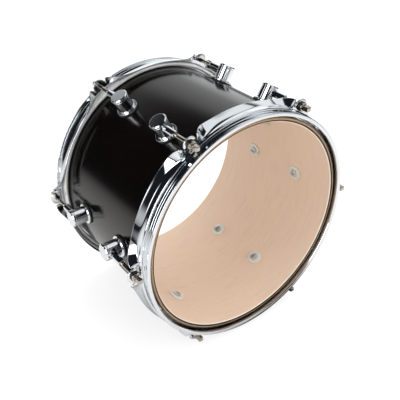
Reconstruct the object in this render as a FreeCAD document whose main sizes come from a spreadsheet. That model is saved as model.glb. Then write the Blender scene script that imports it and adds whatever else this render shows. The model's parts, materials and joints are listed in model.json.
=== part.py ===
import FreeCAD, Part
import math
import os
from types import SimpleNamespace

import Sketcher
from FreeCAD import Placement, Rotation, Vector

# Six-lug rack tom lying on its side: the drum's axis runs along Y, the batter end faces -Y.
# Depths are measured from an end's rim plane towards the middle of the drum.
drivingSizes = {
    "shellDiameter": 304.8,     # outside of the shell
    "shellLength": 234.0,       # between the two bearing edges
    "shellWall": 6.4,
    "bearingCut": 2.0,          # inner 45 degree cut of a bearing edge
    "bearingLand": 0.8,         # flat crown that the film lies on
    "filmSheet": 0.35,
    "filmPlay": 0.45,           # film collar to shell
    "collarDrop": 1.6,          # 45 degree slope of the film's collar, past the bearing edge
    "collarPlay": 0.4,          # film's outward turn to the hoop above it and the channel below
    "headDrop": 8.5,            # flesh hoop's top below the bearing edge
    "rimHeight": 5.4,          # rim above the bearing edge
    "rimPlay": 1.6,             # rim's bore outside the shell
    "rimLip": 6.0,              # rolled-out top flange, radially
    "hoopSheet": 1.7,
    "shoulderRound": 1.6,
    "hoopPlay": 0.3,            # hoop's lower wall to the flesh hoop
    "fleshPlay": 0.8,           # flesh hoop to the shell
    "fleshWidth": 5.5,
    "fleshHeight": 11.0,
    "fleshWall": 1.5,
    "fleshFloor": 2.0,
    "beadPlay": 0.1,            # film's bead in its channel
    "creaseDrop": 9.3,          # crease where the skirt begins, below the shoulder
    "skirtHeight": 11.7,
    "skirtFlare": 3.6,          # skirt's edge beyond the lower wall
    "notchTop": 28.0,           # notch in the skirt under each ear
    "notchFoot": 84.0,          # its width at the skirt's edge
    "notchRound": 30.0,
    "earDrop": 3.3,             # ears below the shoulder
    "earSheet": 2.2,
    "earRoot": 28.0,            # ear's width where it leaves the wall
    "earRound": 9.6,            # ear's tip, about the rod
    "earPlay": 0.5,             # rod in the ear's bore, radially
    "rodDiameter": 5.5,
    "rodGrip": 23.7,            # rod's end inside the mouth of its sleeve
    "rodPoint": 0.8,
    "rodPlay": 0.05,            # rod in its sleeve
    "rodCollarHeight": 2.5,
    "keySquare": 6.35,
    "keyHeight": 10.0,
    "keyChamfer": 0.7,
    "rodWasher": 12.8,
    "rodWasherPlay": 0.25,      # rod in the washer's bore, radially
    "rodWasherRim": 0.65,       # washer beyond the rod's collar
    "rodWasherGap": 0.9,        # washer to the hoop's wall
    "rodWasherSheet": 2.0,
    "lugInset": 71.2,           # bearing edge to the lug's axis
    "lugCrown": 9.0,            # cap's top above the rod's axis
    "lugBody": 22.4,
    "lugCapRim": 0.55,           # cap beyond the body
    "lugCapHeight": 3.2,
    "lugCapRound": 0.9,
    "lugGroove": 0.6,           # neck under the cap, radially
    "lugGrooveHeight": 0.8,
    "lugFlare": 3.2,            # foot beyond the body
    "lugBaseHeight": 2.4,
    "lugBaseRound": 1.2,
    "sleeveDiameter": 9.0,
    "sleeveReach": 31.8,        # from the lug's axis towards its hoop
    "sleeveTail": 6.0,          # past the lug's axis
    "sleevePlay": 0.05,
    "gasketRim": 0.5,           # gasket beyond the lug's foot
    "gasketSheet": 1.6,
    "curvePlay": 0.05,          # curved faces that lie on the shell
    "screwDiameter": 4.9,
    "screwPlay": 0.2,           # screw in the shell's hole, radially
    "threadPlay": 0.05,         # screw in the lug
    "screwDepth": 7.6,          # screw's end above the shell
    "screwTip": 0.6,            # thread left below the screw's end
    "screwHead": 11.0,
    "screwHeadHeight": 3.2,
    "innerWasher": 21.0,
    "innerWasherSheet": 2.2,
    "ventBore": 7.0,
    "ventTube": 9.6,
    "ventPlay": 0.1,
    "ventFlange": 16.0,
    "ventFlangeSheet": 1.4,
    "ventLip": 14.0,
    "ventSeat": 0.25,           # inner lip clear of the curved wall
}
lugCount = 6
lugAngles = [30 + 60 * k for k in range(lugCount)]      # degrees from straight up, towards +X
ventAngle = 60
restTurn = -1          # the whole drum, as it lies, turned about its axis

doc = FreeCAD.newDocument("RackTom")
sheet = doc.addObject("Spreadsheet::Sheet", "sizes")
for row, (alias, value) in enumerate(drivingSizes.items(), 1):
    sheet.set(f"A{row}", alias)
    sheet.set(f"B{row}", str(value))
    sheet.setAlias(f"B{row}", alias)
doc.recompute()


class Length:
    """A length in millimetres together with the formula that drives it."""

    def __init__(self, value, text):
        self.value = float(value)
        self.text = text

    def merge(self, other, sign, value):
        text = other.text if isinstance(other, Length) else str(other)
        return Length(value, f"({self.text} {sign} {text})")

    def __add__(self, other):
        return self.merge(other, "+", self.value + number(other))

    def __sub__(self, other):
        return self.merge(other, "-", self.value - number(other))

    def __mul__(self, other):
        return self.merge(other, "*", self.value * number(other))

    def __truediv__(self, other):
        return self.merge(other, "/", self.value / number(other))

    def __neg__(self):
        return Length(-self.value, f"(0 - {self.text})")


def number(length):
    return length.value if isinstance(length, Length) else float(length)


def drive(target, path, length):
    target.setExpression(path, length.text)


size = SimpleNamespace(**{alias: Length(value, f"sizes.{alias}") for alias, value in drivingSizes.items()})

# Radii and levels that several pieces share.
shellRadius = size.shellDiameter / 2
boreRadius = shellRadius - size.shellWall
edgeY = size.shellLength / 2
rimY = edgeY + size.rimHeight
rimRadius = shellRadius + size.rimPlay
rimEdge = rimRadius + size.rimLip
fleshInner = shellRadius + size.fleshPlay
fleshOuter = fleshInner + size.fleshWidth
wallInner = fleshOuter + size.hoopPlay
wallOuter = wallInner + size.hoopSheet
shoulderSeat = size.rimHeight + size.headDrop           # depth of the flesh hoop's top
shoulderFace = shoulderSeat - size.hoopSheet
crease = shoulderFace + size.creaseDrop
skirtEnd = crease + size.skirtHeight
skirtOuter = wallOuter + size.skirtFlare
axisHeight = skirtOuter                                 # the skirts rest on the floor
collarTurn = shoulderSeat + size.collarPlay             # depth where the film turns outwards
earFace = shoulderFace + size.earDrop
rodSeat = earFace - size.rodWasherSheet                 # depth of the rod collar's underside
rodRadius = wallOuter + size.rodWasherGap + size.rodWasher / 2
lugSeat = shellRadius + size.gasketSheet
lugRow = edgeY - size.lugInset
lugTop = rodRadius + size.lugCrown
lugFoot = size.lugBody / 2 + size.lugFlare
gasketRadius = lugFoot + size.gasketRim
screwHole = size.screwDiameter + size.screwPlay * 2
zero = Length(0, "0")


def atDepth(depth):
    """Y of a level of the batter end, from its depth below the rim."""
    return depth - rimY


def originFeature(body, role):
    return next(feature for feature in body.Origin.OriginFeatures if feature.Role == role)


def newBody(label):
    body = doc.addObject("PartDesign::Body", label)
    body.Label = label
    return body


def newSketch(body, name, plane, offset=None):
    sketch = body.newObject("Sketcher::SketchObject", name)
    sketch.AttachmentSupport = (originFeature(body, plane), [""])
    sketch.MapMode = "FlatFace"
    if offset is not None:
        sketch.AttachmentOffset = Placement(Vector(0, 0, offset.value), Rotation())
        drive(sketch, "AttachmentOffset.Base.z", offset)
    return sketch


def arcCentre(start, end, radius, turn):
    """Centre of the arc shorter than a half circle; turn is 1 anticlockwise, -1 clockwise."""
    chord = end - start
    middle = (start + end) * 0.5
    rise = math.sqrt(max(radius ** 2 - chord.Length ** 2 / 4, 0))
    normal = Vector(-chord.y, chord.x, 0)
    normal.normalize()
    return middle + normal * (rise * turn)


def pin(sketch, geometry, position, axis, length):
    """Holds one coordinate of a point at a driven distance from the sketch's origin."""
    if length is zero:
        onAxis = -2 if axis == "X" else -1
        sketch.addConstraint(Sketcher.Constraint("PointOnObject", geometry, position, onAxis))
        return
    index = sketch.addConstraint(
        Sketcher.Constraint("Distance" + axis, -1, 1, geometry, position, length.value))
    name = f"{axis.lower()}{index}"
    sketch.renameConstraint(index, name)
    drive(sketch, f"Constraints.{name}", length)


def drawLoop(sketch, corners):
    """Closed loop of driven corners (x, y); a corner's third item (radius, turn) bends the next side."""
    points = [Vector(number(corner[0]), number(corner[1]), 0) for corner in corners]
    sides = []
    for index, corner in enumerate(corners):
        start, end = points[index], points[(index + 1) % len(points)]
        if len(corner) == 2:
            sides.append((sketch.addGeometry(Part.LineSegment(start, end), False), 1, 2))
            continue
        radius, turn = corner[2]
        centre = arcCentre(start, end, radius.value, turn)
        first, last = (start, end) if turn > 0 else (end, start)
        angles = [math.atan2(point.y - centre.y, point.x - centre.x) for point in (first, last)]
        circle = Part.Circle(centre, Vector(0, 0, 1), radius.value)
        side = sketch.addGeometry(Part.ArcOfCircle(circle, *angles), False)
        sides.append((side, 1, 2) if turn > 0 else (side, 2, 1))
    for (side, _, tail), (after, head, _) in zip(sides, sides[1:] + sides[:1]):
        sketch.addConstraint(Sketcher.Constraint("Coincident", side, tail, after, head))
    for (side, head, _), corner in zip(sides, corners):
        pin(sketch, side, head, "X", corner[0])
        pin(sketch, side, head, "Y", corner[1])
        if len(corner) == 3:
            radius = corner[2][0]
            index = sketch.addConstraint(Sketcher.Constraint("Radius", side, radius.value))
            sketch.renameConstraint(index, f"round{index}")
            drive(sketch, f"Constraints.round{index}", radius)


def drawCircle(sketch, x, y, diameter):
    centre = Vector(number(x), number(y), 0)
    circle = sketch.addGeometry(Part.Circle(centre, Vector(0, 0, 1), diameter.value / 2), False)
    pin(sketch, circle, 3, "X", x)
    pin(sketch, circle, 3, "Y", y)
    index = sketch.addConstraint(Sketcher.Constraint("Diameter", circle, diameter.value))
    sketch.renameConstraint(index, f"diameter{index}")
    drive(sketch, f"Constraints.diameter{index}", diameter)


def revolve(body, corners, axis):
    """Turns a loop drawn on the XY plane about the sketch's H_Axis (X) or V_Axis (Y)."""
    sketch = newSketch(body, "profile", "XY_Plane")
    drawLoop(sketch, corners)
    turned = body.newObject("PartDesign::Revolution", "turned")
    turned.Profile = sketch
    turned.ReferenceAxis = (sketch, [axis])
    turned.Angle = 360
    return turned


def pad(body, sketch, length, name):
    feature = body.newObject("PartDesign::Pad", name)
    feature.Profile = sketch
    feature.Length = length.value
    drive(feature, "Length", length)
    return feature


def pocketThrough(body, sketch, name, reverse):
    feature = body.newObject("PartDesign::Pocket", name)
    feature.Profile = sketch
    feature.Type = "ThroughAll"
    feature.Reversed = reverse
    return feature


def ring(body, features):
    """Repeats features at every lug angle about the drum's axis."""
    pattern = body.newObject("PartDesign::PolarPattern", "ring")
    pattern.Originals = features
    pattern.Axis = (originFeature(body, "Y_Axis"), [""])
    pattern.Angle = 360
    pattern.Occurrences = lugCount
    body.Tip = pattern


def endTurn(end):
    """The resonant end is the batter end turned half way round about Z."""
    return Rotation(Vector(0, 0, 1), 0 if end == "batter" else 180)


def placeOnAxis(piece, turn, shift=zero):
    roll = Rotation(Vector(0, 1, 0), restTurn)
    piece.Placement = Placement(Vector(0, shift.value, axisHeight.value), roll.multiply(turn))
    drive(piece, "Placement.Base.y", shift)
    drive(piece, "Placement.Base.z", axisHeight)


def lugTurn(end, angle):
    """Turns local X to the lug's radius and local -Y towards the lug's own hoop."""
    flip = Rotation(Vector(1, 0, 0), 0 if end == "batter" else 180)
    return Rotation(Vector(0, 1, 0), angle - 90).multiply(flip)


def lugShift(end):
    return -lugRow if end == "batter" else lugRow


def primitive(kind, name, base, turn, **lengths):
    """Part primitive whose sizes and local place are driven by the sheet."""
    piece = doc.addObject(kind, name)
    piece.Placement = Placement(Vector(*[number(value) for value in base]), turn)
    for axis, value in zip("xyz", base):
        drive(piece, f"Placement.Base.{axis}", value)
    for name, value in lengths.items():
        setattr(piece, name, value.value)
        drive(piece, name, value)
    return piece


alongX = Rotation(Vector(0, 1, 0), 90)
alongY = Rotation(Vector(1, 0, 0), -90)


def cut(base, tool, name):
    feature = doc.addObject("Part::Cut", name)
    feature.Base = base
    feature.Tool = tool
    return feature


def group(label, pieces):
    compound = doc.addObject("Part::Compound", label)
    compound.Label = label
    compound.Links = pieces
    return compound


def makeShell():
    body = newBody("drum_shell")
    crownInner = boreRadius + size.bearingCut
    crownOuter = crownInner + size.bearingLand
    edgeRound = shellRadius - crownOuter
    revolve(body, [
        (crownInner, -edgeY),
        (crownOuter, -edgeY, (edgeRound, 1)),
        (shellRadius, edgeRound - edgeY),
        (shellRadius, edgeY - edgeRound, (edgeRound, 1)),
        (crownOuter, edgeY),
        (crownInner, edgeY),
        (boreRadius, edgeY - size.bearingCut),
        (boreRadius, size.bearingCut - edgeY),
    ], "V_Axis")
    holes = newSketch(body, "screwHoles", "YZ_Plane")
    for row in (-lugRow, lugRow):
        drawCircle(holes, row, zero, screwHole)
    drilled = pocketThrough(body, holes, "screwBores", True)
    ring(body, [drilled])
    vent = newSketch(body, "ventHole", "YZ_Plane")
    vent.AttachmentOffset = Placement(Vector(), Rotation(Vector(1, 0, 0), ventAngle - 90))
    drawCircle(vent, zero, zero, size.ventTube + size.ventPlay * 2)
    body.Tip = pocketThrough(body, vent, "ventBore", True)
    placeOnAxis(body, Rotation())
    return [body]


def makeFilm(end):
    """Clear film: flat disc, collar over the bearing edge, bead in the flesh hoop's channel."""
    body = newBody(f"{end}_film")
    collar = shellRadius + size.filmPlay
    turnIn = collar - size.collarDrop
    face = size.rimHeight - size.filmSheet
    slopeEnd = size.rimHeight + size.collarDrop
    mitre = size.filmSheet * math.tan(math.pi / 8)
    under = collarTurn + size.filmSheet
    beadInner = fleshInner + size.fleshWall + size.beadPlay
    beadOuter = fleshOuter - size.fleshWall - size.beadPlay
    beadEnd = shoulderSeat + size.fleshHeight - size.fleshFloor - size.beadPlay
    revolve(body, [
        (zero, atDepth(face)),
        (turnIn + mitre, atDepth(face)),
        (collar + size.filmSheet, atDepth(slopeEnd - mitre)),
        (collar + size.filmSheet, atDepth(collarTurn)),
        (beadOuter, atDepth(collarTurn)),
        (beadOuter, atDepth(beadEnd)),
        (beadInner, atDepth(beadEnd)),
        (beadInner, atDepth(under)),
        (collar, atDepth(under)),
        (collar, atDepth(slopeEnd)),
        (turnIn, atDepth(size.rimHeight)),
        (zero, atDepth(size.rimHeight)),
    ], "V_Axis")
    placeOnAxis(body, endTurn(end))
    return [body]


def makeFleshHoop(end):
    """Metal channel that holds the film's bead; its inner wall is low, to let the collar pass."""
    body = newBody(f"{end}_flesh_hoop")
    bottom = shoulderSeat + size.fleshHeight
    lowTop = collarTurn + size.filmSheet + size.collarPlay
    revolve(body, [
        (fleshInner, atDepth(lowTop)),
        (fleshInner + size.fleshWall, atDepth(lowTop)),
        (fleshInner + size.fleshWall, atDepth(bottom - size.fleshFloor)),
        (fleshOuter - size.fleshWall, atDepth(bottom - size.fleshFloor)),
        (fleshOuter - size.fleshWall, atDepth(shoulderSeat)),
        (fleshOuter, atDepth(shoulderSeat)),
        (fleshOuter, atDepth(bottom)),
        (fleshInner, atDepth(bottom)),
    ], "V_Axis")
    placeOnAxis(body, endTurn(end))
    return [body]


def makeHoop(end):
    """Triple-flanged counter hoop: rolled rim, shoulder over the head, notched skirt, six ears."""
    body = newBody(f"{end}_hoop")
    lip = size.hoopSheet / 2
    skirtTip = skirtEnd - lip
    revolve(body, [
        (rimRadius, atDepth(lip), (lip, 1)),
        (rimRadius + lip, atDepth(zero)),
        (rimEdge - lip, atDepth(zero), (lip, 1)),
        (rimEdge, atDepth(lip), (lip, 1)),
        (rimEdge - lip, atDepth(size.hoopSheet)),
        (rimRadius + size.hoopSheet, atDepth(size.hoopSheet)),
        (rimRadius + size.hoopSheet, atDepth(shoulderFace)),
        (wallOuter - size.shoulderRound, atDepth(shoulderFace), (size.shoulderRound, 1)),
        (wallOuter, atDepth(shoulderFace + size.shoulderRound)),
        (wallOuter, atDepth(crease)),
        (skirtOuter, atDepth(skirtTip), (lip, 1)),
        (skirtOuter - lip, atDepth(skirtEnd), (lip, 1)),
        (skirtOuter - size.hoopSheet, atDepth(skirtTip)),
        (wallInner, atDepth(crease)),
        (wallInner, atDepth(shoulderSeat)),
        (rimRadius, atDepth(shoulderSeat)),
    ], "V_Axis")

    notchStart = earFace + size.earSheet
    notchBeyond = skirtEnd + size.hoopSheet
    topHalf = size.notchTop / 2
    footHalf = size.notchFoot / 2
    notch = newSketch(body, "notch", "YZ_Plane")
    drawLoop(notch, [
        (atDepth(notchStart), topHalf),
        (atDepth(notchStart), -topHalf, (size.notchRound, -1)),
        (atDepth(skirtEnd), -footHalf),
        (atDepth(notchBeyond), -footHalf),
        (atDepth(notchBeyond), footHalf),
        (atDepth(skirtEnd), footHalf, (size.notchRound, -1)),
    ])
    notchCut = pocketThrough(body, notch, "notchCut", True)

    earBack = rimY - earFace - size.earSheet
    rootX = wallOuter - size.hoopSheet / 2
    rootHalf = size.earRoot / 2
    ear = newSketch(body, "ear", "XZ_Plane", earBack)
    drawLoop(ear, [
        (rootX, -rootHalf),
        (wallOuter, -rootHalf),
        (rodRadius, -size.earRound, (size.earRound, 1)),
        (rodRadius + size.earRound, zero, (size.earRound, 1)),
        (rodRadius, size.earRound),
        (wallOuter, rootHalf),
        (rootX, rootHalf),
    ])
    earPad = pad(body, ear, size.earSheet, "earPlate")
    hole = newSketch(body, "earHole", "XZ_Plane")
    drawCircle(hole, rodRadius, zero, size.rodDiameter + size.earPlay * 2)
    drilled = pocketThrough(body, hole, "earBore", True)
    ring(body, [notchCut, earPad, drilled])
    placeOnAxis(body, endTurn(end))
    return [body]


def makeRod(end, index, angle):
    """Tension rod: shank under a round collar, with a square head for the drum key."""
    body = newBody(f"{end}_tension_rod_{index}")
    shank = size.rodDiameter / 2
    collar = size.rodWasher / 2 - size.rodWasherRim
    collarTop = rodSeat - size.rodCollarHeight
    sleeveMouth = rimY - lugRow - size.sleeveReach
    point = sleeveMouth + size.rodGrip
    revolve(body, [
        (zero, atDepth(collarTop)),
        (collar, atDepth(collarTop)),
        (collar, atDepth(rodSeat)),
        (shank, atDepth(rodSeat)),
        (shank, atDepth(point - size.rodPoint)),
        (shank - size.rodPoint, atDepth(point)),
        (zero, atDepth(point)),
    ], "V_Axis")
    half = size.keySquare / 2
    square = newSketch(body, "keySquare", "XZ_Plane", rimY - collarTop)
    drawLoop(square, [(-half, -half), (half, -half), (half, half), (-half, half)])
    key = pad(body, square, size.keyHeight, "key")
    doc.recompute()
    faces = key.Shape.Faces
    tip = min(range(len(faces)), key=lambda index: faces[index].CenterOfMass.y)
    chamfer = body.newObject("PartDesign::Chamfer", "keyEnd")
    chamfer.Base = (key, [f"Face{tip + 1}"])
    chamfer.Size = size.keyChamfer.value
    drive(chamfer, "Size", size.keyChamfer)
    turn = angle + restTurn
    side, rise = math.sin(math.radians(turn)), math.cos(math.radians(turn))
    place = Vector(rodRadius.value * side, 0, axisHeight.value + rodRadius.value * rise)
    body.Placement = Placement(place, endTurn(end))
    body.setExpression("Placement.Base.x", f"{rodRadius.text} * sin({turn} deg)")
    body.setExpression("Placement.Base.z", f"{axisHeight.text} + {rodRadius.text} * cos({turn} deg)")
    return [body]


def makeRodWashers(end):
    """Ring of washers between the rods' collars and the ears."""
    washers = []
    for angle in lugAngles:
        base = (rodRadius, atDepth(rodSeat), zero)
        disc = primitive("Part::Cylinder", "washerDisc", base, alongY,
                         Radius=size.rodWasher / 2, Height=size.rodWasherSheet)
        bore = primitive("Part::Cylinder", "washerBore", base, alongY,
                         Radius=size.rodDiameter / 2 + size.rodWasherPlay, Height=size.rodWasherSheet)
        washer = cut(disc, bore, "rodWasher")
        washer.Placement = Placement(Vector(), Rotation(Vector(0, 1, 0), angle - 90))
        washers.append(washer)
    washerRing = group(f"{end}_rod_washers", washers)
    placeOnAxis(washerRing, endTurn(end))
    return [washerRing]


def makeLug(end, index, angle):
    """Turret lug: flared foot, round body, flat cap, blind cross bore for its sleeve."""
    body = newBody(f"{end}_lug_{index}")
    footTop = lugSeat + size.lugBaseHeight
    barrel = size.lugBody / 2
    neck = barrel - size.lugGroove
    cap = barrel + size.lugCapRim
    capSeat = lugTop - size.lugCapHeight
    revolve(body, [
        (lugSeat, zero),
        (lugSeat, lugFoot),
        (footTop - size.lugBaseRound, lugFoot, (size.lugBaseRound, -1)),
        (footTop, lugFoot - size.lugBaseRound),
        (footTop, barrel),
        (capSeat - size.lugGrooveHeight, barrel),
        (capSeat - size.lugGrooveHeight, neck),
        (capSeat, neck),
        (capSeat, cap),
        (lugTop - size.lugCapRound, cap, (size.lugCapRound, -1)),
        (lugTop, cap - size.lugCapRound),
        (lugTop, zero),
    ], "H_Axis")
    cross = newSketch(body, "sleeveHole", "XZ_Plane", -size.sleeveTail - size.sleevePlay)
    drawCircle(cross, rodRadius, zero, size.sleeveDiameter + size.sleevePlay * 2)
    pocketThrough(body, cross, "sleeveBore", True)
    screwEnd = shellRadius + size.screwDepth + size.screwTip
    thread = newSketch(body, "screwHole", "YZ_Plane", screwEnd)
    drawCircle(thread, zero, zero, size.screwDiameter + size.threadPlay * 2)
    body.Tip = pocketThrough(body, thread, "screwThread", False)
    placeOnAxis(body, lugTurn(end, angle), lugShift(end))
    return [body]


def makeSleeve(end, index, angle):
    """Threaded sleeve that sits in the lug's cross bore and takes the tension rod."""
    base = (rodRadius, -size.sleeveReach, zero)
    length = size.sleeveReach + size.sleeveTail
    tube = primitive("Part::Cylinder", "sleeveTube", base, alongY,
                     Radius=size.sleeveDiameter / 2, Height=length)
    bore = primitive("Part::Cylinder", "sleeveBore", base, alongY,
                     Radius=size.rodDiameter / 2 + size.rodPlay, Height=length)
    sleeve = cut(tube, bore, f"{end}_lug_sleeve_{index}")
    sleeve.Label = sleeve.Name
    placeOnAxis(sleeve, lugTurn(end, angle), lugShift(end))
    return [sleeve]


def atEveryLug(piece, label):
    """Puts a piece made by a function at every lug and gathers the copies."""
    copies = []
    for end in ("batter", "resonant"):
        for angle in lugAngles:
            item = piece()
            shift = lugShift(end)
            item.Placement = Placement(Vector(0, shift.value, 0), lugTurn(end, angle))
            drive(item, "Placement.Base.y", shift)
            copies.append(item)
    gathered = group(label, copies)
    placeOnAxis(gathered, Rotation())
    return [gathered]


def gasketPiece():
    """Rubber pad, flat under the lug's foot and hollowed to the shell's outside."""
    base = (boreRadius, zero, zero)
    disc = primitive("Part::Cylinder", "gasketDisc", base, alongX,
                     Radius=gasketRadius, Height=lugSeat - boreRadius)
    hole = primitive("Part::Cylinder", "gasketHole", base, alongX,
                     Radius=screwHole / 2, Height=lugSeat - boreRadius)
    drum = primitive("Part::Cylinder", "gasketSeat", (zero, -gasketRadius * 2, zero), alongY,
                     Radius=shellRadius + size.curvePlay, Height=gasketRadius * 4)
    return cut(cut(disc, hole, "gasketRing"), drum, "gasket")


def innerWasherPiece():
    """Nylon washer, crowned to the shell's bore and flat under the screw's head."""
    base = (boreRadius - size.innerWasherSheet, zero, zero)
    disc = primitive("Part::Cylinder", "innerWasherDisc", base, alongX,
                     Radius=size.innerWasher / 2, Height=size.innerWasherSheet)
    hole = primitive("Part::Cylinder", "innerWasherHole", base, alongX,
                     Radius=screwHole / 2, Height=size.innerWasherSheet)
    bore = primitive("Part::Cylinder", "innerWasherSeat", (zero, -size.innerWasher, zero), alongY,
                     Radius=boreRadius - size.curvePlay, Height=size.innerWasher * 2)
    crowned = doc.addObject("Part::Common", "innerWasher")
    crowned.Base = cut(disc, hole, "innerWasherRing")
    crowned.Tool = bore
    return crowned


def screwPiece():
    """Screw from inside the shell into the lug's foot."""
    seat = boreRadius - size.innerWasherSheet
    head = primitive("Part::Cylinder", "screwHead", (seat - size.screwHeadHeight, zero, zero), alongX,
                     Radius=size.screwHead / 2, Height=size.screwHeadHeight)
    shank = primitive("Part::Cylinder", "screwShank", (seat, zero, zero), alongX,
                      Radius=size.screwDiameter / 2, Height=shellRadius + size.screwDepth - seat)
    screw = doc.addObject("Part::Fuse", "lugScrew")
    screw.Base = head
    screw.Tool = shank
    return screw


def makeVentGrommet():
    """Eyelet that lines the shell's air vent."""
    body = newBody("vent_grommet")
    bore = size.ventBore / 2
    tube = size.ventTube / 2
    lipSeat = boreRadius - size.ventSeat
    revolve(body, [
        (lipSeat - size.ventFlangeSheet, bore),
        (lipSeat - size.ventFlangeSheet, size.ventLip / 2),
        (lipSeat, size.ventLip / 2),
        (lipSeat, tube),
        (shellRadius, tube),
        (shellRadius, size.ventFlange / 2),
        (shellRadius + size.ventFlangeSheet, size.ventFlange / 2),
        (shellRadius + size.ventFlangeSheet, bore),
    ], "H_Axis")
    placeOnAxis(body, lugTurn("batter", ventAngle))
    return [body]


def makeEnd(end):
    pieces = makeHoop(end) + makeFleshHoop(end) + makeFilm(end) + makeRodWashers(end)
    for index, angle in enumerate(lugAngles, 1):
        pieces += makeRod(end, index, angle)
        pieces += makeLug(end, index, angle)
        pieces += makeSleeve(end, index, angle)
    return pieces


pieces = makeShell() + makeEnd("batter") + makeEnd("resonant") + makeVentGrommet()
pieces += atEveryLug(gasketPiece, "lug_gaskets")
pieces += atEveryLug(innerWasherPiece, "lug_inner_washers")
pieces += atEveryLug(screwPiece, "lug_screws")
doc.recompute()

failed = [item.Label for item in doc.Objects if {"Invalid", "Error"} & set(item.State)]
failed += [piece.Label for piece in pieces if piece.Shape.isNull() or not piece.Shape.isValid()]
if failed:
    raise SystemExit(f"not built: {failed}")

os.makedirs("parts", exist_ok=True)
for piece in pieces:
    piece.Shape.exportStep(f"parts/{piece.Label}.step")
    print(piece.Label, len(piece.Shape.Solids), round(piece.Shape.Volume, 2))
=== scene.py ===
import json
import math

import bmesh
import bpy
import numpy as np
from mathutils import Matrix, Vector


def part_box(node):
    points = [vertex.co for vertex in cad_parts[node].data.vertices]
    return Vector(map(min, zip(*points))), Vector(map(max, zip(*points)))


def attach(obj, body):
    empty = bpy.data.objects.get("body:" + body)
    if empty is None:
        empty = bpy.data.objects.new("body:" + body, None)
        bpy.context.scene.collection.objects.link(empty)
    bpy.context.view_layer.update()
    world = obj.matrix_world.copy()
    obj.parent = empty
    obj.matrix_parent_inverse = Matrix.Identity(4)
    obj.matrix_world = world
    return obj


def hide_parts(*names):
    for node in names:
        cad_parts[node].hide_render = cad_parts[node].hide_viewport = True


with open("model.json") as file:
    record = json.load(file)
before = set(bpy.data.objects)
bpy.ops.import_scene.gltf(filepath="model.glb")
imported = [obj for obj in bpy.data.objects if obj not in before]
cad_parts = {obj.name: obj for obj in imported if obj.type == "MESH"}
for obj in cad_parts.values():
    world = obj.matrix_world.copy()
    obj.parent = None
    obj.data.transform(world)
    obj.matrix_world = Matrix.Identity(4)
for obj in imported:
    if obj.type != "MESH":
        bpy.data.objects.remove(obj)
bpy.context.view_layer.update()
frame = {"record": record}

# Lengths below are in millimetres and become metres when a mesh is made.
# Depth runs from a rim plane towards the middle of the drum, whose axis lies along Y.
mm = 0.001
ends = ("batter", "resonant")
lugAngles = np.arange(30, 390, 60)      # degrees from straight up, towards +X, before the drum is rolled

# What all meshes share: weld is in metres, sharpFrom in degrees between two faces.
# Support points beside an arc stand off by a share of the straight, up to supportMost.
meshing = {"weld": 2e-7, "sharpFrom": 35, "supportShare": 0.3, "supportMost": 0.3}


def boxCentre(nodeName):
    low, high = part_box(nodeName)
    return np.array((low + high) / 2) / mm


shellHigh = np.array(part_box("drum_shell")[1]) / mm
shellRadius, edgeY = shellHigh[0], shellHigh[1]
axisHeight = boxCentre("drum_shell")[2]
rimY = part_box("resonant_hoop")[1].y / mm
firstRod = boxCentre("batter_tension_rod_1") - (0, 0, axisHeight)
rodRadius = math.hypot(firstRod[0], firstRod[2])
restTurn = math.atan2(firstRod[0], firstRod[2]) - math.radians(lugAngles[0])    # the drum's roll at rest
lugRow = -boxCentre("batter_lug_2")[1]
bodies = frame["record"]["behaviour"]["bodies"]
bodyOf = {node: body for body, nodes in bodies.items() for node in nodes}
print("frame: shell radius", round(shellRadius, 2), "axis height", round(axisHeight, 2),
      "rim", round(rimY, 2))


# Outlines

def unit(vectors):
    return vectors / np.maximum(np.linalg.norm(vectors, axis=-1, keepdims=True), 1e-12)


def roundCorners(corners, radii, steps=6, closed=False):
    # Path with an arc of the given radius in place of every corner; an open path keeps its ends sharp.
    # The arc's centre lies on the corner's bisector, radius / sin(half angle) away.
    # A support point on the straight on both sides of each arc keeps flat faces flat in the shading.
    corners = np.asarray(corners, float)
    radii = np.broadcast_to(np.asarray(radii, float), corners.shape[:-1])
    back, ahead = np.roll(corners, 1, -2) - corners, np.roll(corners, -1, -2) - corners
    span = np.linalg.norm(ahead, axis=-1)
    back, ahead = unit(back), unit(ahead)
    half = np.maximum(np.arccos(np.clip((back * ahead).sum(-1), -1, 1)) / 2, 1e-6)
    reach = radii / np.tan(half)
    straight = span - reach - np.roll(reach, -1, -1)
    ease = np.clip(straight * meshing["supportShare"], 0, meshing["supportMost"])
    centre = corners + unit(back + ahead) * (radii / np.sin(half))[..., None]
    first = corners + back * reach[..., None] - centre
    last = corners + ahead * reach[..., None] - centre
    begin = np.arctan2(first[..., 1], first[..., 0])
    sweep = np.arctan2(last[..., 1], last[..., 0]) - begin
    sweep = (sweep + math.pi) % (2 * math.pi) - math.pi
    angle = begin[..., None] + sweep[..., None] * np.linspace(0, 1, steps)
    arcs = centre[..., None, :] + radii[..., None, None] * np.stack([np.cos(angle), np.sin(angle)], -1)
    lead = corners + back * (reach + np.roll(ease, 1, -1))[..., None]
    trail = corners + ahead * (reach + ease)[..., None]
    bends = np.concatenate([lead[..., None, :], arcs, trail[..., None, :]], -2)
    if closed:
        return bends.reshape(*bends.shape[:-3], -1, 2)
    inner = bends[..., 1:-1, :, :].reshape(*bends.shape[:-3], -1, 2)
    return np.concatenate([corners[..., :1, :], inner, corners[..., -1:, :]], -2)


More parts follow.
